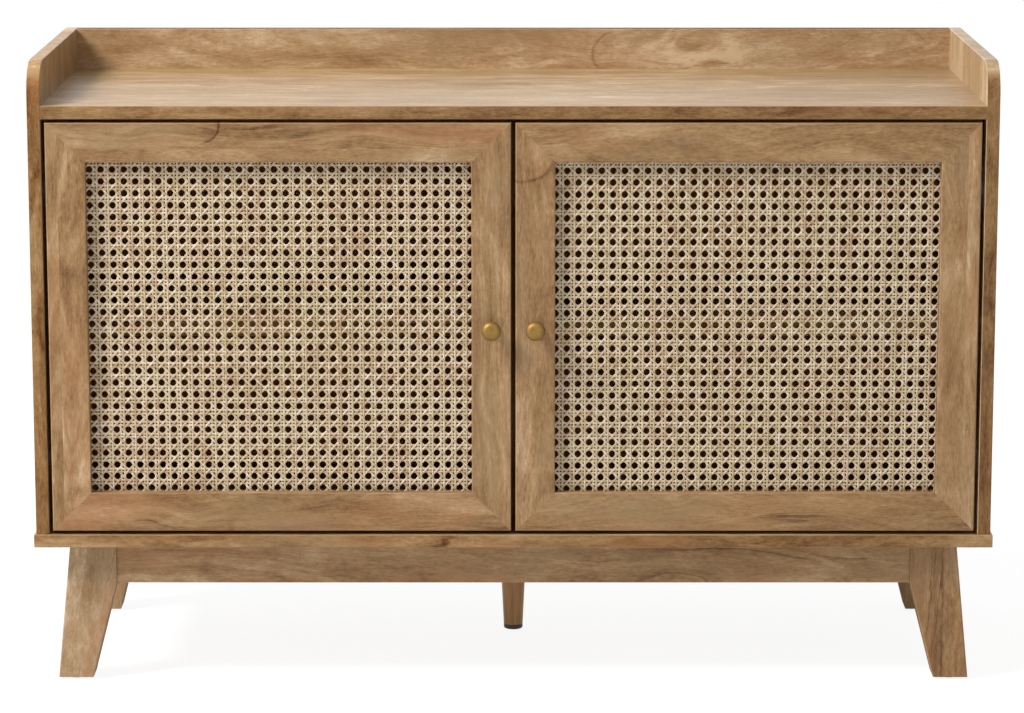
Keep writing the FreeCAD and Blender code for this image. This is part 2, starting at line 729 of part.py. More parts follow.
# Mitred beads that hold the cane panel in the rebate
BEAD_OUT = "rebate_width - bead_play"
outer_edge = [(f"-(sight_outer + {BEAD_OUT})", f"sight_low - ({BEAD_OUT})"),
              (f"-(sight_inner - ({BEAD_OUT}))", f"sight_low - ({BEAD_OUT})"),
              (f"-(sight_inner - ({BEAD_OUT}))", f"sight_high + {BEAD_OUT}"),
              (f"-(sight_outer + {BEAD_OUT})", f"sight_high + {BEAD_OUT}")]
inner_edge = [("-sight_outer", "sight_low"), ("-sight_inner", "sight_low"),
              ("-sight_inner", "sight_high"), ("-sight_outer", "sight_high")]
beads = []
for index in range(4):
    follow = (index + 1) % 4
    beads.append(prism(f"left_door_bead_{index}", "XZ", "rebate_front + cane_thickness",
                       "rebate_depth - cane_thickness",
                       [outer_edge[index], outer_edge[follow], inner_edge[follow], inner_edge[index]]))
keep_pair("left_door_cane_beads", group("left_door_cane_beads", beads))

# Side panel: rounded front top corner, rebated behind for the back sheet
side = prism("left_side_panel_body", "YZ", "-half_width", "board",
             [("front", "base_top"), ("back", "base_top"), ("back", "full_height"), ("front", "full_height")])
rounded(side, "corner_radius", lambda span: near(span.YMax, "front") and near(span.ZMin, "full_height"))
rounded(side, "board_ease",
        lambda span: span.XLength < 1e-4 and (near(span.YMin, "front") or near(span.ZMax, "full_height"))
        and not near(span.YMin, "back"))
cutters["left_side_panel"].append(
    box("left_sheet_rebate", ("-sheet_outer", "sheet_front", "base_top - drill_over"),
        ("-inner_half + drill_over", "back + drill_over", "top_upper")))
keep_pair("left_side_panel", side)

# Boards that span the width
bottom = slab("bottom_panel_body", ("-base_half", "base_front", "leg_height"),
              ("base_half", "sheet_front", "base_top"))
rounded(bottom, "board_ease",
        lambda span: (runs(span, "x") and near(span.YMin, "base_front"))
        or (runs(span, "y") and near(abs(span.XMin), "base_half"))
        or (runs(span, "z") and near(span.YMin, "base_front")))
keep("bottom_panel", bottom)
top = slab("top_panel_body", ("-inner_half", "front", "top_under"),
           ("inner_half", "sheet_front", "top_upper"))
rounded(top, "board_ease", lambda span: runs(span, "x") and near(span.YMin, "front"))
keep("top_panel", top)
upstand = slab("back_upstand_body", ("-inner_half", "back - board", "top_upper"),
               ("inner_half", "back", "full_height"))
rounded(upstand, "board_ease", lambda span: runs(span, "x") and near(span.ZMin, "full_height"))
keep("back_upstand", upstand)
keep("centre_divider", slab("centre_divider_body", ("-board / 2", "divider_front", "base_top"),
                            ("board / 2", "sheet_front", "top_under")))

# Shelf, back sheet and the bumpers that the closed doors meet
keep_pair("left_shelf", slab("left_shelf", ("-(inner_half - shelf_play)", "shelf_front", "shelf_under"),
                             ("-(board / 2 + shelf_play)", "shelf_back", "shelf_under + board")))
keep_pair("left_back_panel", slab("left_back_panel_body", ("-sheet_outer", "sheet_front", "leg_height"),
                                  ("-sheet_seam / 2", "back", "top_upper")))
bumpers = []
for name, height in (("low", "door_low + bumper_inset"), ("high", "door_high - bumper_inset")):
    bumper = rod(f"{name}_bumper", ("-(board / 2 + door_inner) / 2", "divider_front", height), "-y",
                 "(board / 2 - door_inner - bumper_margin) / 2", "divider_clearance - bumper_gap")
    bumpers.extend(both_sides(bumper))
keep("door_bumpers", group("door_bumpers", bumpers))

# Legs and their glides
leg_outline = [("-leg_outer", "leg_height"), ("-leg_inner", "leg_height"), ("-leg_inner", "apron_low"),
               ("-toe_inner", "leg_glide"), ("-toe_outer", "leg_glide")]
glides = []
for end, start in (("front", "leg_front"), ("rear", "rear_leg_front")):
    leg = prism(f"{end}_left_leg_body", "XZ", start, "leg_depth", leg_outline)
    rounded(leg, "leg_ease", lambda span: span.YLength < 1e-4 and span.ZLength > 1e-4)
    keep_pair(f"{end}_left_leg", leg)
    glide = rod(f"{end}_left_glide", ("-(toe_outer + toe_inner) / 2", f"{start} + leg_depth / 2", "0"), "+z",
                "leg_glide_radius", "leg_glide")
    glides.extend(both_sides(glide))
keep("leg_glides", group("leg_glides", glides))

# Aprons between the legs
for end, start in (("front", "front_apron_y"), ("rear", "rear_apron_y")):
    keep(f"{end}_apron", slab(f"{end}_apron_body", ("-leg_inner", start, "apron_low"),
                              ("leg_inner", f"{start} + apron_thickness", "leg_height")))
keep_pair("left_apron", slab("left_apron_body",
                             ("-side_apron_x - apron_thickness / 2", "leg_front + leg_depth", "apron_low"),
                             ("-side_apron_x + apron_thickness / 2", "rear_leg_front", "leg_height")))

# Centre foot and its glide
foot = doc.addObject("Part::Cone", "centre_foot_body")
foot.setExpression("Radius1", bound("foot_toe_radius"))
foot.setExpression("Radius2", bound("foot_top_radius"))
foot.setExpression("Height", bound("leg_height - foot_glide"))
place(foot, ("0", "foot_y", "foot_glide"))
keep("centre_foot", foot)
foot_glide = doc.addObject("PartDesign::Body", "centre_foot_glide")
tip = foot_glide.newObject("PartDesign::AdditiveCylinder", "centre_foot_glide_disc")
tip.setExpression("Radius", bound("foot_toe_radius"))
tip.setExpression("Height", bound("foot_glide"))
rounded(foot_glide, "foot_glide_round",
        lambda span: span.ZMax < 1e-4 and span.XLength > value("foot_toe_radius"))
place(foot_glide, ("0", "foot_y", "0"))
keep("centre_foot_glide", foot_glide)

keep("dowels", group("dowels", dowels))
keep("cam_bolts", group("cam_bolts", cam_bolts))
keep("cam_locks", group("cam_locks", cam_locks))

doc.recompute()
for thing in doc.Objects:
    if {"Invalid", "Error"} & set(thing.State):
        raise RuntimeError(f"{thing.Label} failed: {thing.State}")
for name, piece in pieces.items():
    if piece.Shape.isNull() or not piece.Shape.isValid() or not piece.Shape.Solids:
        raise RuntimeError(f"{name} has no valid solid")
for name, piece in pieces.items():
    piece.Shape.exportStep(f"parts/{name}.step")
print(f"{len(pieces)} pieces written")
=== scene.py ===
import math
from collections import namedtuple

import bpy
from mathutils import Matrix, Vector


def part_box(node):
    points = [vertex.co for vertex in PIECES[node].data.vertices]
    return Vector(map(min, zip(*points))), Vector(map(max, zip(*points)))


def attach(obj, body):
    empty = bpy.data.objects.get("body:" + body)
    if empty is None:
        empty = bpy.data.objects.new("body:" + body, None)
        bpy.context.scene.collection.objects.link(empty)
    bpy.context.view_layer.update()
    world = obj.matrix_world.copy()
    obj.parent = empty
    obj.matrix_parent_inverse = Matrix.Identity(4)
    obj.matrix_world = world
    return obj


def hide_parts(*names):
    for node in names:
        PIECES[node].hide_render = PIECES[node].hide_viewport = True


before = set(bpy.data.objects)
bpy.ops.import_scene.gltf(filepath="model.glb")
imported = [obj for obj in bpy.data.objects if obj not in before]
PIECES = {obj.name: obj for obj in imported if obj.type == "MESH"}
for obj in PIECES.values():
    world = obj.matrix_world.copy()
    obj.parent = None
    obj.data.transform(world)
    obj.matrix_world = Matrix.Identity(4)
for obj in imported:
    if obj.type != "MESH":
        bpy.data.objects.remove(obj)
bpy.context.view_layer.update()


# Small helpers for node trees

class Wire:
    """One socket of a node tree; arithmetic on it adds Math nodes."""

    def __init__(self, bench, socket):
        self.bench = bench
        self.socket = socket

    def other(self, name):
        """Another output of the same node."""
        return Wire(self.bench, self.socket.node.outputs[name])

    def __add__(self, b):
        return self.bench.math("ADD", self, b)

    def __radd__(self, b):
        return self.bench.math("ADD", b, self)

    def __sub__(self, b):
        return self.bench.math("SUBTRACT", self, b)

    def __rsub__(self, b):
        return self.bench.math("SUBTRACT", b, self)

    def __mul__(self, b):
        return self.bench.math("MULTIPLY", self, b)

    def __rmul__(self, b):
        return self.bench.math("MULTIPLY", b, self)

    def __truediv__(self, b):
        return self.bench.math("DIVIDE", self, b)

    def __rtruediv__(self, b):
        return self.bench.math("DIVIDE", b, self)

    def __pow__(self, b):
        return self.bench.math("POWER", self, b)

    def __rpow__(self, b):
        return self.bench.math("POWER", b, self)


class Bench:
    """A node tree being made, for a finish, for the studio or for a woven piece."""

    def __init__(self, tree):
        self.tree = tree
        tree.nodes.clear()

    def node(self, kind, settings=None, inputs=None, out=0):
        """Adds a node, with its settings first and then its inputs, and gives one of its outputs."""
        made = self.tree.nodes.new(kind)
        for key, value in (settings or {}).items():
            if key == "stops":
                self.set_stops(made.color_ramp, value)
            else:
                setattr(made, key, value)
        for key, value in (inputs or {}).items():
            if isinstance(value, Wire):
                self.tree.links.new(value.socket, made.inputs[key])
            else:
                made.inputs[key].default_value = value
        return Wire(self, made.outputs[out]) if made.outputs else None

    def set_stops(self, ramp, stops):
        while len(ramp.elements) < len(stops):
            ramp.elements.new(1.0)
        for element, (position, hue) in zip(ramp.elements, stops):
            element.position = position
            element.color = hue

    def math(self, operation, a, b=0.0):
        return self.node("ShaderNodeMath", {"operation": operation}, {0: a, 1: b})

    def join(self, x, y, z):
        return self.node("ShaderNodeCombineXYZ", None, {0: x, 1: y, 2: z})

    def split(self, vector):
        x = self.node("ShaderNodeSeparateXYZ", None, {0: vector})
        return x, x.other("Y"), x.other("Z")

    def vector(self, operation, a, b):
        return self.node("ShaderNodeVectorMath", {"operation": operation}, {0: a, 1: b})

    def noise(self, vector, scale=1.0, detail=2.0, roughness=0.5, distortion=0.0):
        inputs = {
            "Vector": vector,
            "Scale": scale,
            "Detail": detail,
            "Roughness": roughness,
            "Distortion": distortion,
        }
        return self.node("ShaderNodeTexNoise", None, inputs)

    def step(self, value, low, high, start=0.0, end=1.0):
        """Goes smoothly from start, where value is low, to end, where it is high."""
        inputs = {0: value, 1: low, 2: high, 3: start, 4: end}
        return self.node("ShaderNodeMapRange", {"interpolation_type": "SMOOTHSTEP"}, inputs)

    def tint(self, amount, under, over, mode="MIX"):
        settings = {"data_type": "RGBA", "blend_type": mode}
        return self.node("ShaderNodeMix", settings, {0: amount, 6: under, 7: over}, out=2)

    def ramp(self, value, stops):
        return self.node("ShaderNodeValToRGB", {"stops": stops}, {0: value})


class Finish(Bench):
    """A material whose nodes end in one Principled shader."""

    def __init__(self, name, **constants):
        self.material = bpy.data.materials.new(name)
        self.material.use_nodes = True
        super().__init__(self.material.node_tree)
        self.shader = self.tree.nodes.new("ShaderNodeBsdfPrincipled")
        for key, value in constants.items():
            self.shader.inputs[key.replace("_", " ")].default_value = value
        self.node("ShaderNodeOutputMaterial", None, {0: Wire(self, self.shader.outputs[0])})

    def place(self):
        return self.node("ShaderNodeTexCoord", out="Object")

    def facing(self):
        return self.split(self.node("ShaderNodeTexCoord", out="Normal"))

    def bump(self, height, distance, strength):
        inputs = {"Height": height, "Distance": distance, "Strength": strength}
        return self.node("ShaderNodeBump", None, inputs)

    def feed(self, **sockets):
        for key, value in sockets.items():
            self.tree.links.new(value.socket, self.shader.inputs[key.replace("_", " ")])
        return self.material


def colour(red, green, blue):
    """A colour given as it is seen on screen, 0 to 255, made linear for the shaders."""
    seen = [c / 255 for c in (red, green, blue)]
    return tuple(c / 12.92 if c <= 0.04045 else ((c + 0.055) / 1.055) ** 2.4 for c in seen) + (1.0,)


def dress(name, finish):
    for slot in PIECES[name].material_slots:
        slot.material = finish


# Mango wood print: the ramp from dark to pale, and the tints that lie over it

MANGO = [
    (0.00, colour(80, 44, 14)),
    (0.22, colour(121, 87, 50)),
    (0.46, colour(149, 115, 75)),
    (0.70, colour(172, 140, 102)),
    (1.00, colour(204, 177, 143)),
]
MANGO_RED = colour(158, 106, 66)
MANGO_GREY = colour(142, 118, 84)
MOST_GREY = 0.45
# A paler, cooler tint over a board's faces: painted light and sheen on the top and the right side
PAINTED_LIGHT_CAST = (0.98, 1.015, 1.03, 1.0)
LEG_CAST = (1.0, 1.06, 1.18, 1.0)

# Layers of the print: each is a noise on three axes, with its repeats a metre on each of them

Layer = namedtuple("Layer", "axes repeats shift detail roughness distortion", defaults=(0.0, 2.0, 0.5, 0.0))
GRAIN = "along across deep"
LAYERS = {
    "year": Layer("rings along deep", (130.0, 2.5, 4.0), detail=4.0, roughness=0.6),
    "cloud": Layer(GRAIN, (11.0, 32.0, 32.0), detail=5.0, roughness=0.62, distortion=1.2),
    "broad": Layer(GRAIN, (4.0, 13.0, 13.0)),
    "streak": Layer("along rings deep", (14.0, 420.0, 60.0), detail=3.0, roughness=0.6),
    "fibre": Layer(GRAIN, (120.0, 600.0, 600.0), roughness=0.6),
    "hair": Layer(GRAIN, (55.0, 1700.0, 1700.0), roughness=0.6),
    "pore": Layer(GRAIN, (210.0, 2300.0, 2300.0), shift=3.0, detail=1.0),
    "figure": Layer(GRAIN, (140.0, 270.0, 270.0), detail=3.0, roughness=0.65),
    "patch": Layer(GRAIN, (7.0, 17.0, 17.0), shift=5.0),
    "line": Layer("rings along deep", (48.0, 1.5, 2.0), shift=2.0),
    "lined": Layer(GRAIN, (6.0, 15.0, 15.0), shift=8.0),
    "warm": Layer(GRAIN, (6.0, 19.0, 19.0), shift=4.0, detail=3.0),
    "cool": Layer(GRAIN, (5.0, 21.0, 21.0), shift=9.0, detail=3.0),
}

# Where each mark on the board begins, and where it is full

SPANS = {
    "edge": (0.6, 0.85),
    "arris_highlight": (0.97, 0.75),
    "pore": (0.6, 0.7),
    "patch": (0.53, 0.7),
    "line": (0.022, 0.004),
    "lined": (0.54, 0.66),
    "warm": (0.47, 0.75),
    "cool": (0.48, 0.76),
    "seam": (0.07, 0.01),
    "knot": (1.0, 0.0),
    "stroke": (0.1, 0.01),
    "inside": (1.02, 0.98),
}

# How far each layer and mark moves the tone, which goes from 0, dark, to 1, pale

MID_TONE = 0.495
DARK_EASE = 0.68
BROAD_TONES = {"year": 0.85, "cloud": 1.05, "broad": 0.85}
FINE_TONES = {"streak": 0.42, "fibre": 0.4, "figure": 0.4, "hair": 0.42}
PLANK_TONE = 0.18
PORE_TONE = 0.17
PATCH_TONE = 0.05
PATCH_FIGURE = 0.5
LINE_TONE = 0.22
KNOT_LINES = 0.2
# Rounded arrises are printed paler: a painted highlight along the board edges
ARRIS_HIGHLIGHT = 0.15
INSIDE_TONE = 0.25

# The foil's gloss and relief: cut edges are more matt

FOIL_ROUGH = 0.38
EDGE_ROUGH = 0.5
ROUGH_SWING = {"streak": 0.16, "cloud": 0.12}
FOIL_RELIEF = 0.00012
HAIR_RELIEF = 0.6
PORE_RELIEF = 0.8

# The pith that the rings go round: its depth in metres, how far it strays, slopes, rolls and waves

PITH_DEPTH = 0.05
PITH_STRAY = 0.1
PITH_SLOPE = 0.1
PITH_ROLL = 0.10
PITH_WAVE = 0.008
ROLL_REPEATS = (2.6, 5.0)
WAVE_REPEATS = (9.0, 22.0)

# How far apart in the print the planks, and a board's cut edges, are taken from

EDGE_ROW = 9.0
PLANK_SHIFT = (7.0, 3.0, 3.0)
BEND_SHIFT = 9.0
SEED_COLUMN = 0.37
SEED_SLIDE = 3.1

# Drawn marks, measured from the board's middle along the grain and across it, with half sizes

Knot = namedtuple("Knot", "at up wide tall swell")
Arc = namedtuple("Arc", "at up wide tall side depth")
ARC_WOBBLE = 0.2
ARC_REPEATS = 45.0
ARC_FADE = 0.4


class MangoFoil(Finish):
    """The foil of one board, worked in axes along the grain, across it and into the board."""

    def __init__(self, board, run, seed, lean, shine):
        super().__init__(board + "_foil", Specular_IOR_Level=shine)
        self.seed = seed
        low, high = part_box(board)
        place = self.vector("SUBTRACT", self.place(), tuple((low + high) / 2))
        if lean:
            settings = {"rotation_type": "Y_AXIS"}
            place = self.node("ShaderNodeVectorRotate", settings, {"Vector": place, "Angle": lean})
        axes = dict(zip("XYZ", self.split(place)))
        self.along = axes.pop(run[0])
        self.across = axes.pop(run[1])
        self.deep, = axes.values()
        faces = [self.math("ABSOLUTE", face) for face in self.facing()]
        flattest = self.math("MAXIMUM", self.math("MAXIMUM", faces[0], faces[1]), faces[2])
        self.edge = self.step(faces["XYZ".index(run[1])], *SPANS["edge"])
        # Mask of the rounded arrises, where the painted highlight goes
        self.arris_highlight = self.step(flattest, *SPANS["arris_highlight"])

    def cut_planks(self, stave, length):
        """Gives every printed plank random numbers of its own."""
        row = self.edge * EDGE_ROW
        if stave:
            width, joint = stave
            self.plank = (self.across - joint) / width
            row = row + self.math("FLOOR", self.plank)
        column = self.seed * SEED_COLUMN
        if length:
            start = {"W": row + self.seed * SEED_SLIDE}
            slide = self.node("ShaderNodeTexWhiteNoise", {"noise_dimensions": "1D"}, start)
            column = self.math("FLOOR", self.along / length + slide)
        where = {"Vector": self.join(row, column, self.seed)}
        self.pick = self.node("ShaderNodeTexWhiteNoise", None, where)
        self.one, self.two, self.three = self.split(self.pick.other("Color"))

    def bend(self, repeats, first, second):
        """A slow noise that bends the rings of a plank."""
        along, across = repeats
        x = self.along * along + first * BEND_SHIFT
        y = self.across * across
        z = self.deep * across + second * BEND_SHIFT
        return self.noise(self.join(x, y, z), detail=3.0, roughness=0.55)

    def oval(self, mark):
        """The square of how far out a point is, with 1 on the mark's outline."""
        return ((self.along - mark.at) / mark.wide) ** 2 + ((self.across - mark.up) / mark.tall) ** 2

    def grow_rings(self, knots):
        """Lays the layers of the print on rings round a straying pith, which swell at knots."""
        roll = self.bend(ROLL_REPEATS, self.one, self.two)
        wave = self.bend(WAVE_REPEATS, self.two, self.three)
        off = self.across + (self.one - 0.5) * PITH_STRAY + (wave - 0.5) * PITH_WAVE
        slope = self.along * (self.two - 0.5) * PITH_SLOPE
        down = self.deep + PITH_DEPTH + (roll - 0.5) * PITH_ROLL + slope
        self.spots = 0.0
        for knot in knots:
            near = self.step(self.oval(knot), *SPANS["knot"])
            down = down + near * knot.swell
            self.spots = self.spots + near
        self.axes = {
            "rings": self.math("SQRT", off * off + down * down),
            "along": self.along + self.three * PLANK_SHIFT[0],
            "across": self.across + self.one * PLANK_SHIFT[1],
            "deep": self.deep + self.two * PLANK_SHIFT[2],
        }
        self.layers = {name: self.lay(layer) for name, layer in LAYERS.items()}
        self.pores = self.mark("pore")

    def lay(self, layer):
        scaled = [self.axes[axis] * repeats for axis, repeats in zip(layer.axes.split(), layer.repeats)]
        where = self.join(scaled[0], scaled[1], scaled[2] + layer.shift)
        return self.noise(where, 1.0, layer.detail, layer.roughness, layer.distortion)

    def mark(self, name, most=1.0):
        return self.step(self.layers[name], *SPANS[name], end=most)

    def swing(self, weights):
        """Layers about their middle, each by its weight."""
        return sum((self.layers[name] - 0.5) * weight for name, weight in weights.items())

    def ring_end(self, arc):
        """How dark one drawn ring end is: half an oval, with a line for its outline."""
        wobble = self.join(self.along * ARC_REPEATS, self.across * ARC_REPEATS, self.seed)
        reach = self.math("SQRT", self.oval(arc)) + (self.noise(wobble) - 0.5) * ARC_WOBBLE
        stroke = self.step(self.math("ABSOLUTE", reach - 1.0), *SPANS["stroke"])
        inside = self.step(reach, *SPANS["inside"])
        half = self.step((self.along - arc.at) * arc.side, 0.0, arc.wide * ARC_FADE)
        return half * (stroke * arc.depth + inside * (arc.depth * INSIDE_TONE))

    def shade(self, lift, band, vivid, seam, arcs):
        """The tone of the print; its darkest parts are eased."""
        broad = self.swing(BROAD_TONES)
        broad = self.math("MAXIMUM", broad, broad * DARK_EASE)
        tone = MID_TONE + lift + broad * vivid + self.swing(FINE_TONES)
        tone = tone + (self.pick - 0.5) * PLANK_TONE - self.pores * PORE_TONE
        patch = self.mark("patch") + self.spots
        tone = tone - patch * (PATCH_TONE + (self.layers["figure"] - 0.5) * PATCH_FIGURE)
        line = self.step(self.math("ABSOLUTE", self.layers["line"] - 0.5), *SPANS["line"])
        lined = self.step(self.layers["lined"] + self.spots * KNOT_LINES, *SPANS["lined"])
        # Cut edges take band; rounded arrises take a painted highlight
        tone = tone - line * lined * LINE_TONE + self.edge * band + self.arris_highlight * ARRIS_HIGHLIGHT
        if seam:
            joint = self.math("ABSOLUTE", self.plank - self.math("ROUND", self.plank))
            tone = tone - self.step(joint, *SPANS["seam"]) * seam
        for arc in arcs:
            tone = tone - self.ring_end(arc)
        return tone

    def stain(self, tone, red, cast):
        """The colour of the print for its tone, with warm and grey patches over it."""
        hue = self.ramp(tone, MANGO)
        hue = self.tint(self.mark("warm", red), hue, MANGO_RED)
        hue = self.tint(self.mark("cool", MOST_GREY), hue, MANGO_GREY)
        if cast:
            hue = self.tint(1.0 - self.edge, hue, cast, "MULTIPLY")
        return hue


def mango_foil(board, run, seed, lift=0.0, band=-0.1, stave=None, length=None, knots=(), arcs=(),
               lean=0.0, shine=0.32, vivid=1.0, red=0.45, cast=None, seam=0.0):
    """Dresses a board in printed foil.

    run names the axis along the grain and the axis across it; lean turns both, for a splayed leg.
    lift makes the print paler and band its cut edges, darker where it is negative; vivid spreads its broad
    tones. Where a board below is made paler, or its edges darker, to follow how light falls on it, that is
    painted light and shade.
    stave is how wide the printed planks are and where one of their joints is, across the board.
    length is how long the planks are, where they end on the board, and seam how dark their joints are.
    red is how far the warm patches go, cast a tint of all but the edges, and shine the specular level.
    """
    foil = MangoFoil(board, run, seed, lean, shine)
    foil.cut_planks(stave, length)
    foil.grow_rings(knots)
    hue = foil.stain(foil.shade(lift, band, vivid, seam, arcs), red, cast)
    rough = FOIL_ROUGH + foil.edge * EDGE_ROUGH + foil.swing(ROUGH_SWING)
    height = foil.layers["hair"] * HAIR_RELIEF + foil.layers["streak"] - foil.pores * PORE_RELIEF
    relief = foil.bump(height, FOIL_RELIEF, strength=0.5)
    dress(board, foil.feed(Base_Color=hue, Roughness=rough, Normal=relief))


# Other finishes

CANE_STRAW = colour(197, 176, 144)
CANE_TAN = colour(170, 139, 105)
CANE_GREEN = colour(178, 166, 120)
CANE_PALE = colour(231, 215, 196)
CANE_SPREAD = 311.0


def cane_finish(name):
    """Split rattan skin: each strand has its own tone, with fine lines along it."""
    skin = Finish(name, Specular_IOR_Level=0.5)
    place = skin.place()
    strand = skin.node("ShaderNodeAttribute", {"attribute_name": "strand"}, out="Fac")
    shade = skin.node("ShaderNodeTexWhiteNoise", {"noise_dimensions": "1D"}, {"W": strand * CANE_SPREAD})
    patch = skin.noise(place, scale=38.0, detail=3.0, roughness=0.6)
    knot = skin.noise(place, scale=140.0, roughness=0.6)
    lines = skin.noise(place, scale=900.0)
    tan = skin.step(patch + (strand - 0.5) * 0.5, low=0.35, high=0.75)
    hue = skin.tint(tan, CANE_STRAW, CANE_TAN)
    hue = skin.tint(skin.step(shade, low=0.55, high=1.0, end=0.65), hue, CANE_GREEN)
    hue = skin.tint(skin.step(knot, low=0.45, high=0.7, end=0.55), hue, CANE_PALE)
    relief = skin.bump(lines, distance=0.0001, strength=0.5)
    return skin.feed(Base_Color=hue, Roughness=0.38 + knot * 0.2, Normal=relief)


WOOD_BANDS = (9.0, 120.0)
WOOD_FIBRES = (60.0, 900.0)


def raw_wood(name, run, dark, light):
    """Plain solid wood for the turned foot, the beads, the dowels and the splines."""
    wood = Finish(name, Specular_IOR_Level=0.4)
    axes = dict(zip("XYZ", wood.split(wood.place())))
    run_axis = axes.pop(run)
    first, second = axes.values()
    lines = []
    for along, across in (WOOD_BANDS, WOOD_FIBRES):
        lines.append(wood.join(run_axis * along, first * across, second * across))
    band = wood.noise(lines[0], detail=4.0, roughness=0.6)
    fibre = wood.noise(lines[1])
    tone = wood.step(band * 0.75 + fibre * 0.25, low=0.3, high=0.7)
    hue = wood.tint(tone, dark, light)
    relief = wood.bump(fibre, distance=0.0001, strength=0.4)
    return wood.feed(Base_Color=hue, Roughness=0.5 + (fibre - 0.5) * 0.2, Normal=relief)


BOARD_BARE = (colour(116, 84, 57), colour(160, 122, 85))
BOARD_STAINED = (colour(150, 91, 48), colour(194, 135, 82))


def hardboard_finish(name):
    """Thin pressed board, slightly mottled: bare outside, with a warm stain on its inner face."""
    board = Finish(name, Specular_IOR_Level=0.3)
    place = board.place()
    felt = board.noise(place, scale=420.0, detail=4.0, roughness=0.7)
    patch = board.noise(place, scale=9.0, detail=4.0, roughness=0.65)
    tone = board.step(felt * 0.55 + patch * 0.45, low=0.34, high=0.66)
    inner = board.step(board.facing()[1], low=0.2, high=-0.2)
    hue = board.tint(inner, board.tint(tone, *BOARD_BARE), board.tint(tone, *BOARD_STAINED))
    relief = board.bump(felt, distance=0.0002, strength=0.5)
    return board.feed(Base_Color=hue, Roughness=0.62 + felt * 0.2, Normal=relief)


BRUSH_REPEATS = (300.0, 300.0, 2400.0)


def metal_finish(name, hue, worn, rough, metallic):
    """Turned or pressed metal with fine brushed lines and duller patches."""
    metal = Finish(name, Metallic=metallic)
    place = metal.place()
    brush = metal.noise(metal.vector("MULTIPLY", place, BRUSH_REPEATS))
    patch = metal.noise(place, scale=90.0, detail=3.0, roughness=0.6)
    tone = metal.tint(metal.step(patch, low=0.4, high=0.75), hue, worn)
    dull = rough + (brush - 0.5) * 0.12 + (patch - 0.5) * 0.16
    relief = metal.bump(brush, distance=0.00003, strength=0.4)
    return metal.feed(Base_Color=tone, Roughness=dull, Normal=relief)


def moulded_finish(name, hue, worn, rough):
    """Moulded plastic or rubber with a fine texture."""
    plastic = Finish(name, Specular_IOR_Level=0.5)
    place = plastic.place()
    pebble = plastic.noise(place, scale=1500.0, roughness=0.6)
    patch = plastic.noise(place, scale=70.0, detail=3.0, roughness=0.6)
    tone = plastic.tint(plastic.step(patch, low=0.4, high=0.8), hue, worn)
    relief = plastic.bump(pebble, distance=0.00008, strength=0.4)
    return plastic.feed(Base_Color=tone, Roughness=rough + pebble * 0.15, Normal=relief)


# Carcass boards, door frames and legs: each has a print of its own

UPSTAND_ARC = Arc(0.126, -0.006, 0.030, 0.027, side=-1, depth=0.24)
TOP_RAIL_ARC = Arc(-0.090, 0.021, 0.024, 0.023, side=1, depth=0.28)
MEETING_ARC = Arc(0.1996, -0.0143, 0.032, 0.034, side=-1, depth=0.19)
TOP_RAIL_KNOT = Knot(-0.076, 0.003, 0.012, 0.007, swell=0.02)
LOW_RAIL_PATCH = Knot(-0.147, 0.0, 0.035, 0.016, swell=0.004)
LOW_RAIL_ARCH = Knot(0.070, -0.030, 0.115, 0.048, swell=0.03)
LEG_KNOT = Knot(0.017, -0.009, 0.010, 0.006, swell=0.003)

# The top is printed paler and cooler, and its front edge darker: painted sheen and light on the upper face
mango_foil("top_panel", "XY", 1.3, lift=0.12, band=-0.34, stave=(0.13, 0.07), red=0.15, cast=PAINTED_LIGHT_CAST)
# band darkens the upstand's crest: painted shade on its top face
mango_foil("back_upstand", "XZ", 2.0, lift=0.24, band=-0.5, arcs=[UPSTAND_ARC])
mango_foil("bottom_panel", "XY", 3.4, band=-0.04, stave=(0.12, 0.03))
mango_foil("left_side_panel", "ZY", 4.2, band=-0.12, stave=(0.1, 0.04), shine=0.1)
# The right side is printed much paler than the left, with darker edges: painted light where the lamp on the
# left falls on its inner face
mango_foil("right_side_panel", "ZY", 5.8, lift=0.28, band=-0.46, stave=(0.1, 0.02), red=0.2, cast=PAINTED_LIGHT_CAST)
# The divider's and the shelves' cut edges are printed dark: painted shade in the gap between the doors and
# inside the carcass
mango_foil("centre_divider", "ZY", 6.1, band=-0.5, stave=(0.1, 0.04), shine=0.05)
mango_foil("left_shelf", "XY", 7.3, band=-0.36, stave=(0.1, 0.04), length=0.7, shine=0.06)
mango_foil("right_shelf", "XY", 8.9, band=-0.36, stave=(0.1, 0.01), length=0.7, shine=0.06)

mango_foil("front_apron", "XZ", 9.0, lift=-0.02)
mango_foil("rear_apron", "XZ", 10.0, lift=-0.02)
mango_foil("left_apron", "YZ", 11.0, lift=-0.02)
mango_foil("right_apron", "YZ", 12.0, lift=-0.02)

mango_foil("left_door_top_rail", "XZ", 13.7, stave=(0.03, -0.007), arcs=[TOP_RAIL_ARC])
mango_foil("left_door_bottom_rail", "XZ", 14.0, lift=-0.05, knots=[LOW_RAIL_PATCH])
mango_foil("left_door_hinge_stile", "ZX", 15.7, lift=-0.03, stave=(0.03, -0.009), vivid=1.3)
mango_foil("left_door_meeting_stile", "ZX", 16.0, lift=-0.1)
mango_foil("right_door_top_rail", "XZ", 17.0, lift=-0.09, knots=[TOP_RAIL_KNOT], vivid=0.8)
mango_foil("right_door_bottom_rail", "XZ", 18.0, knots=[LOW_RAIL_ARCH], vivid=0.65)
mango_foil("right_door_hinge_stile", "ZX", 19.6, stave=(0.03, 0.008))
mango_foil("right_door_meeting_stile", "ZX", 20.0, arcs=[MEETING_ARC])

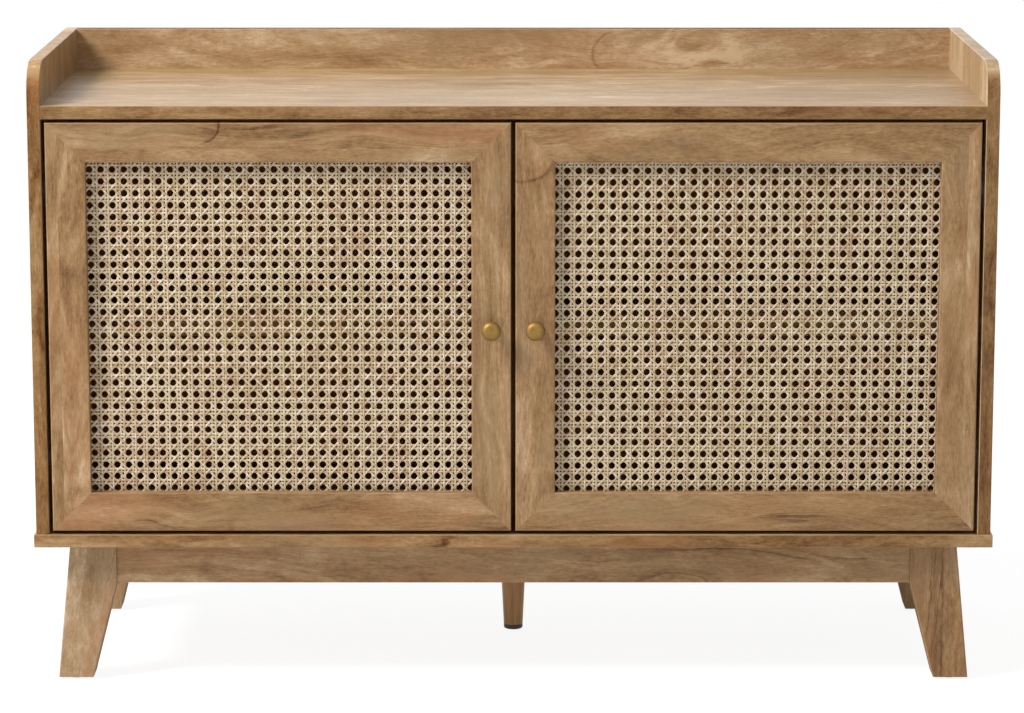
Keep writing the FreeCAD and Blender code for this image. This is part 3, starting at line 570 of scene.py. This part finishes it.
LEG_SPLAY = 0.022
LEG_HEIGHT = 0.159
LEG_LEAN = math.atan2(LEG_SPLAY, LEG_HEIGHT)
LEG_STAVE = 0.04
LEFT_LEG = {"lift": 0.06, "lean": -LEG_LEAN, "cast": LEG_CAST}
mango_foil("front_left_leg", "ZX", 20.94, stave=(LEG_STAVE, -0.009), **LEFT_LEG)
mango_foil("rear_left_leg", "ZX", 21.54, stave=(LEG_STAVE, 0.006), **LEFT_LEG)
mango_foil("front_right_leg", "ZX", 23.2, lift=-0.08, stave=(LEG_STAVE, 0.003), knots=[LEG_KNOT], seam=0.16)
mango_foil("rear_right_leg", "ZX", 20.98, lift=-0.08, stave=(LEG_STAVE, -0.008), lean=LEG_LEAN)


# Everything else: a finish for each ending of a piece's name

BEECH = raw_wood("beech", "Y", colour(176, 136, 92), colour(206, 170, 126))
BEAD = raw_wood("bead_wood", "X", colour(110, 78, 50), colour(148, 110, 74))
FOOT = raw_wood("turned_wood", "Z", colour(180, 133, 86), colour(217, 173, 120))
BRASS = metal_finish("knob_brass", colour(146, 114, 60), colour(126, 97, 49), rough=0.56, metallic=0.75)
NICKEL = metal_finish("hinge_steel", colour(190, 190, 188), colour(160, 160, 160), rough=0.3, metallic=1.0)
ZINC = metal_finish("fixing_steel", colour(172, 174, 176), colour(130, 130, 132), rough=0.4, metallic=1.0)
BLACK = moulded_finish("black_plastic", colour(16, 16, 17), colour(30, 30, 31), rough=0.4)
RUBBER = moulded_finish("clear_rubber", colour(206, 206, 200), colour(188, 188, 182), rough=0.25)
HARDBOARD = hardboard_finish("hardboard")

FINISHES = [
    (("dowels", "splines"), BEECH),
    (("beads",), BEAD),
    (("centre_foot",), FOOT),
    (("knob",), BRASS),
    (("hinge_cup", "cup_screws", "hinge_arm", "hinge_plates", "plate_screws", "hinge_pins"), NICKEL),
    (("knob_screw", "cam_bolts", "cam_locks", "leg_bolts", "panel_pins", "shelf_pegs"), ZINC),
    (("glide", "glides"), BLACK),
    (("bumpers",), RUBBER),
    (("back_panel",), HARDBOARD),
]
for name in PIECES:
    for endings, finish in FINISHES:
        if name.endswith(endings):
            dress(name, finish)


# Woven cane, worked in lattice units with a hole at every whole number

CANE_PITCH = (0.01307, 0.01364)
CANE_WIDTH = 0.0024
CANE_THICK = 0.00044
CANE_SIDES = 6

# Half the width of a pair, how far a strand strays, and how close together its points are

CANE_PAIR = 0.137
CANE_DRIFT = 0.02
CANE_STEP = 0.25
CANE_TONE_SEED = 7

# How far past the panel the hole beside the last pair may be

CANE_PAST = 0.3

# How high strands rise, in metres: the diagonals, the uprights of a pair and the courses

CANE_RISE = 0.00078
CANE_LIFT = 0.00044
CANE_RIPPLE = 0.00004

PORTS = {
    "Int": ("Count", "Seed"),
    "Float": ("Left", "Right", "Low", "High", "First", "Across", "Up", "Width", "Thickness"),
    "Material": ("Material",),
}


class Weave(Bench):
    """A Geometry Nodes tree that lays one family of strands over a door's opening.

    lay gives where a strand starts, how long it is and its angle, and rise its height on the way.
    """

    def __init__(self, name, lay, rise, step, paired=False):
        super().__init__(bpy.data.node_groups.new(name, "GeometryNodeTree"))
        self.paired = paired
        self.ports = {}
        sockets = self.tree.interface
        sockets.new_socket("Geometry", in_out="OUTPUT", socket_type="NodeSocketGeometry")
        for kind, labels in PORTS.items():
            for label in labels:
                socket = sockets.new_socket(label, in_out="INPUT", socket_type="NodeSocket" + kind)
                self.ports[label] = socket.identifier
        self.get = self.node("NodeGroupInput").other
        lines = self.bend(self.lay_lines(lay), rise, step)
        self.node("NodeGroupOutput", None, {0: self.skin(lines)})

    def draw(self, index, seed, low, high):
        inputs = {"ID": index, "Seed": seed, 2: low, 3: high}
        return self.node("FunctionNodeRandomValue", {"data_type": "FLOAT"}, inputs, out=1)

    def lay_lines(self, lay):
        """Straight lines, each with its tone and its side of a pair."""
        index = self.node("GeometryNodeInputIndex")
        pair = self.math("FLOOR", index * 0.5)
        side = (index - pair * 2.0) * 2.0 - 1.0
        drift = self.draw(index, self.get("Seed"), -CANE_DRIFT, CANE_DRIFT)
        tone = self.draw(index, self.get("Seed") + CANE_TONE_SEED, 0.0, 1.0)
        if self.paired:
            line = self.get("First") + pair + 0.5 + side * CANE_PAIR + drift
        else:
            line = self.get("First") + index + 0.5 + drift
        x, y, length, angle = lay(self, line)
        inputs = {"Count": self.get("Count"), "Position": self.join(x, y, 0.0)}
        starts = self.node("GeometryNodePoints", None, inputs)
        inputs = {"Start": (0, 0, 0), "End": (1, 0, 0)}
        rod = self.node("GeometryNodeCurvePrimitiveLine", None, inputs)
        inputs = {
            "Points": starts,
            "Instance": rod,
            "Rotation": (0.0, 0.0, angle),
            "Scale": self.join(length, 1.0, 1.0),
        }
        laid = self.node("GeometryNodeInstanceOnPoints", None, inputs)
        settings = {"data_type": "FLOAT", "domain": "INSTANCE"}
        for label, value in (("strand", tone), ("side", side)):
            inputs = {0: laid, "Name": label, "Value": value}
            laid = self.node("GeometryNodeStoreNamedAttribute", settings, inputs)
        return self.node("GeometryNodeRealizeInstances", None, {0: laid})

    def bend(self, lines, rise, step):
        """Lines over and under each other, now in metres."""
        inputs = {"Curve": lines, "Length": step}
        lines = self.node("GeometryNodeResampleCurve", {"mode": "LENGTH"}, inputs)
        x, y, _ = self.split(self.node("GeometryNodeInputPosition"))
        side = self.node("GeometryNodeInputNamedAttribute", {"data_type": "FLOAT"}, {"Name": "side"})
        place = self.join(x * self.get("Across"), y * self.get("Up"), rise(self, x, y, side))
        lines = self.node("GeometryNodeSetPosition", None, {"Geometry": lines, "Position": place})
        return self.node("GeometryNodeSetCurveNormal", {"mode": "Z_UP"}, {"Curve": lines})

    def skin(self, lines):
        """Flat strands round the lines."""
        inputs = {"Resolution": CANE_SIDES, "Radius": 0.5}
        ring = self.node("GeometryNodeCurvePrimitiveCircle", {"mode": "RADIUS"}, inputs)
        size = self.join(self.get("Width"), self.get("Thickness"), 1.0)
        ring = self.node("GeometryNodeTransform", None, {"Geometry": ring, "Scale": size})
        inputs = {"Curve": lines, "Profile Curve": ring, "Fill Caps": True}
        skin = self.node("GeometryNodeCurveToMesh", None, inputs)
        inputs = {"Geometry": skin, "Shade Smooth": True}
        skin = self.node("GeometryNodeSetShadeSmooth", None, inputs)
        skin = self.node("GeometryNodeRealizeInstances", None, {0: skin})
        inputs = {"Geometry": skin, "Material": self.get("Material")}
        return self.node("GeometryNodeSetMaterial", None, inputs)


def lay_uprights(weave, line):
    return line, weave.get("Low"), weave.get("High") - weave.get("Low"), math.pi / 2


def lay_courses(weave, line):
    return weave.get("Left"), line, weave.get("Right") - weave.get("Left"), 0.0


def lay_falling(weave, line):
    start = weave.math("MAXIMUM", weave.get("Left"), line - weave.get("High"))
    end = weave.math("MINIMUM", weave.get("Right"), line - weave.get("Low"))
    return start, line - start, (end - start) * math.sqrt(2), -math.pi / 4


def lay_rising(weave, line):
    start = weave.math("MAXIMUM", weave.get("Left"), line + weave.get("Low"))
    end = weave.math("MINIMUM", weave.get("Right"), line + weave.get("High"))
    return start, start - line, (end - start) * math.sqrt(2), math.pi / 4


def rise_uprights(weave, x, y, side):
    """The two strands of a pair go opposite ways between the holes."""
    return side * (1.0 - weave.math("COSINE", y * math.tau)) * (CANE_LIFT / 2)


def rise_across(height):
    """Up and down once from one hole to the next."""
    return lambda weave, x, y, side: weave.math("COSINE", x * math.tau) * height


SLANT_STEP = CANE_STEP * math.sqrt(2)
FAMILIES = {
    "uprights": Weave("cane_uprights", lay_uprights, rise_uprights, CANE_STEP, paired=True),
    "courses": Weave("cane_courses", lay_courses, rise_across(CANE_RIPPLE), CANE_STEP, paired=True),
    "falling": Weave("cane_falling", lay_falling, rise_across(-CANE_RISE), SLANT_STEP),
    "rising": Weave("cane_rising", lay_rising, rise_across(CANE_RISE), SLANT_STEP),
}
CANE = cane_finish("cane")


def weave_door(door, hole, seed):
    """hole is where one hole's centre sits, as width and height in the door's plane."""
    node = door + "_cane_panel"
    low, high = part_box(node)
    across, up = CANE_PITCH
    left, right = (low.x - hole[0]) / across, (high.x - hole[0]) / across
    foot, head = (low.z - hole[1]) / up, (high.z - hole[1]) / up
    middle = Vector((hole[0], (low.y + high.y) / 2, hole[1]))
    stand = Matrix.Translation(middle) @ Matrix.Rotation(math.pi / 2, 4, "X")
    reaches = {
        "uprights": (math.ceil(left - CANE_PAST), math.floor(right + CANE_PAST)),
        "courses": (math.ceil(foot - CANE_PAST), math.floor(head + CANE_PAST)),
        "falling": (math.ceil(left + foot), math.floor(right + head)),
        "rising": (math.ceil(left - head), math.floor(right - foot)),
    }
    for family, weave in FAMILIES.items():
        first, last = reaches[family]
        sizes = {
            "Count": (last - first) * (2 if weave.paired else 1),
            "Seed": seed,
            "Left": left,
            "Right": right,
            "Low": foot,
            "High": head,
            "First": float(first),
            "Across": across,
            "Up": up,
            "Width": CANE_WIDTH,
            "Thickness": CANE_THICK,
            "Material": CANE,
        }
        blank = bpy.data.objects.new("blank", bpy.data.meshes.new("blank"))
        bpy.context.scene.collection.objects.link(blank)
        made = blank.modifiers.new("weave", "NODES")
        made.node_group = weave.tree
        for label, value in sizes.items():
            made[weave.ports[label]] = value
        layout = bpy.context.evaluated_depsgraph_get()
        mesh = bpy.data.meshes.new_from_object(blank.evaluated_get(layout))
        bpy.data.objects.remove(blank)
        mesh.transform(stand)
        piece = bpy.data.objects.new(door + "_cane_" + family, mesh)
        bpy.context.scene.collection.objects.link(piece)
        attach(piece, door)
        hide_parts(node)


weave_door("left_door", (-0.2706, 0.4206), 3)
weave_door("right_door", (0.2699, 0.4192), 11)


# Floor, light and camera

WHITE = (1.0, 1.0, 1.0, 1.0)
FLOOR_HALF = 30.0
FLOOR_PALE = (0.8, 0.8, 0.8, 1.0)
FLOOR_SHADE = (0.2, 0.2, 0.2, 1.0)
FLOOR_GLOW = 0.9
ROOM_LIGHT = 0.42

Lamp = namedtuple("Lamp", "place size power")
LAMPS = {
    "key": Lamp((-3.3, -1.65, 3.8), 1.5, 315.0),
    "fill": Lamp((1.0, -3.8, 1.4), 2.4, 10.0),
    "rear": Lamp((-1.2, 4.2, 2.4), 4.0, 25.0),
}
LAMP_AIM = Vector((0.0, 0.0, 0.45))

PICTURE_WIDTH = 1024
FOCAL_PIXELS = 3845
SENSOR_WIDTH = 36.0
CAMERA_PLACE = (-0.0015, -4.48775, 1.186)
CAMERA_TILT = 10.556


def seen(bench):
    """1 on what the camera sees, straight or by way of gloss and glass."""
    path = bench.node("ShaderNodeLightPath", out="Is Camera Ray")
    sharp = bench.math("MAXIMUM", path, path.other("Is Glossy Ray"))
    return bench.math("MAXIMUM", sharp, path.other("Is Transmission Ray"))


def lay_floor(scene):
    mesh = bpy.data.meshes.new("floor")
    signs = ((-1, -1), (1, -1), (1, 1), (-1, 1))
    corners = [(x * FLOOR_HALF, y * FLOOR_HALF, 0) for x, y in signs]
    mesh.from_pydata(corners, [], [(0, 1, 2, 3)])
    floor = bpy.data.objects.new("floor", mesh)
    scene.collection.objects.link(floor)
    pale = bpy.data.materials.new("floor")
    pale.use_nodes = True
    mesh.materials.append(pale)
    bench = Bench(pale.node_tree)
    plain = bench.node("ShaderNodeBsdfDiffuse", None, {"Color": FLOOR_PALE})
    thin = bench.node("ShaderNodeBsdfDiffuse", None, {"Color": FLOOR_SHADE})
    glow = bench.node("ShaderNodeEmission", None, {"Color": WHITE, "Strength": FLOOR_GLOW})
    white = bench.node("ShaderNodeAddShader", None, {0: thin, 1: glow})
    both = bench.node("ShaderNodeMixShader", None, {0: seen(bench), 1: plain, 2: white})
    bench.node("ShaderNodeOutputMaterial", None, {0: both})


def light_room(scene):
    room = bpy.data.worlds.new("studio")
    room.use_nodes = True
    scene.world = room
    bench = Bench(room.node_tree)
    strength = seen(bench) * (1.0 - ROOM_LIGHT) + ROOM_LIGHT
    glow = bench.node("ShaderNodeBackground", None, {"Color": WHITE, "Strength": strength})
    bench.node("ShaderNodeOutputWorld", None, {0: glow})
    for name, lamp in LAMPS.items():
        light = bpy.data.lights.new(name, "AREA")
        light.shape = "SQUARE"
        light.size = lamp.size
        light.energy = lamp.power
        box = bpy.data.objects.new(name, light)
        box.location = lamp.place
        box.rotation_euler = (LAMP_AIM - box.location).to_track_quat("-Z", "Y").to_euler()
        scene.collection.objects.link(box)


def set_camera(scene):
    lens = bpy.data.cameras.new("camera")
    lens.sensor_width = SENSOR_WIDTH
    lens.lens = FOCAL_PIXELS * SENSOR_WIDTH / PICTURE_WIDTH
    camera = bpy.data.objects.new("camera", lens)
    camera.location = CAMERA_PLACE
    camera.rotation_euler = (math.radians(90.0 - CAMERA_TILT), 0.0, 0.0)
    scene.collection.objects.link(camera)
    scene.camera = camera


studio = bpy.context.scene
studio.view_settings.view_transform = "Standard"
lay_floor(studio)
light_room(studio)
set_camera(studio)
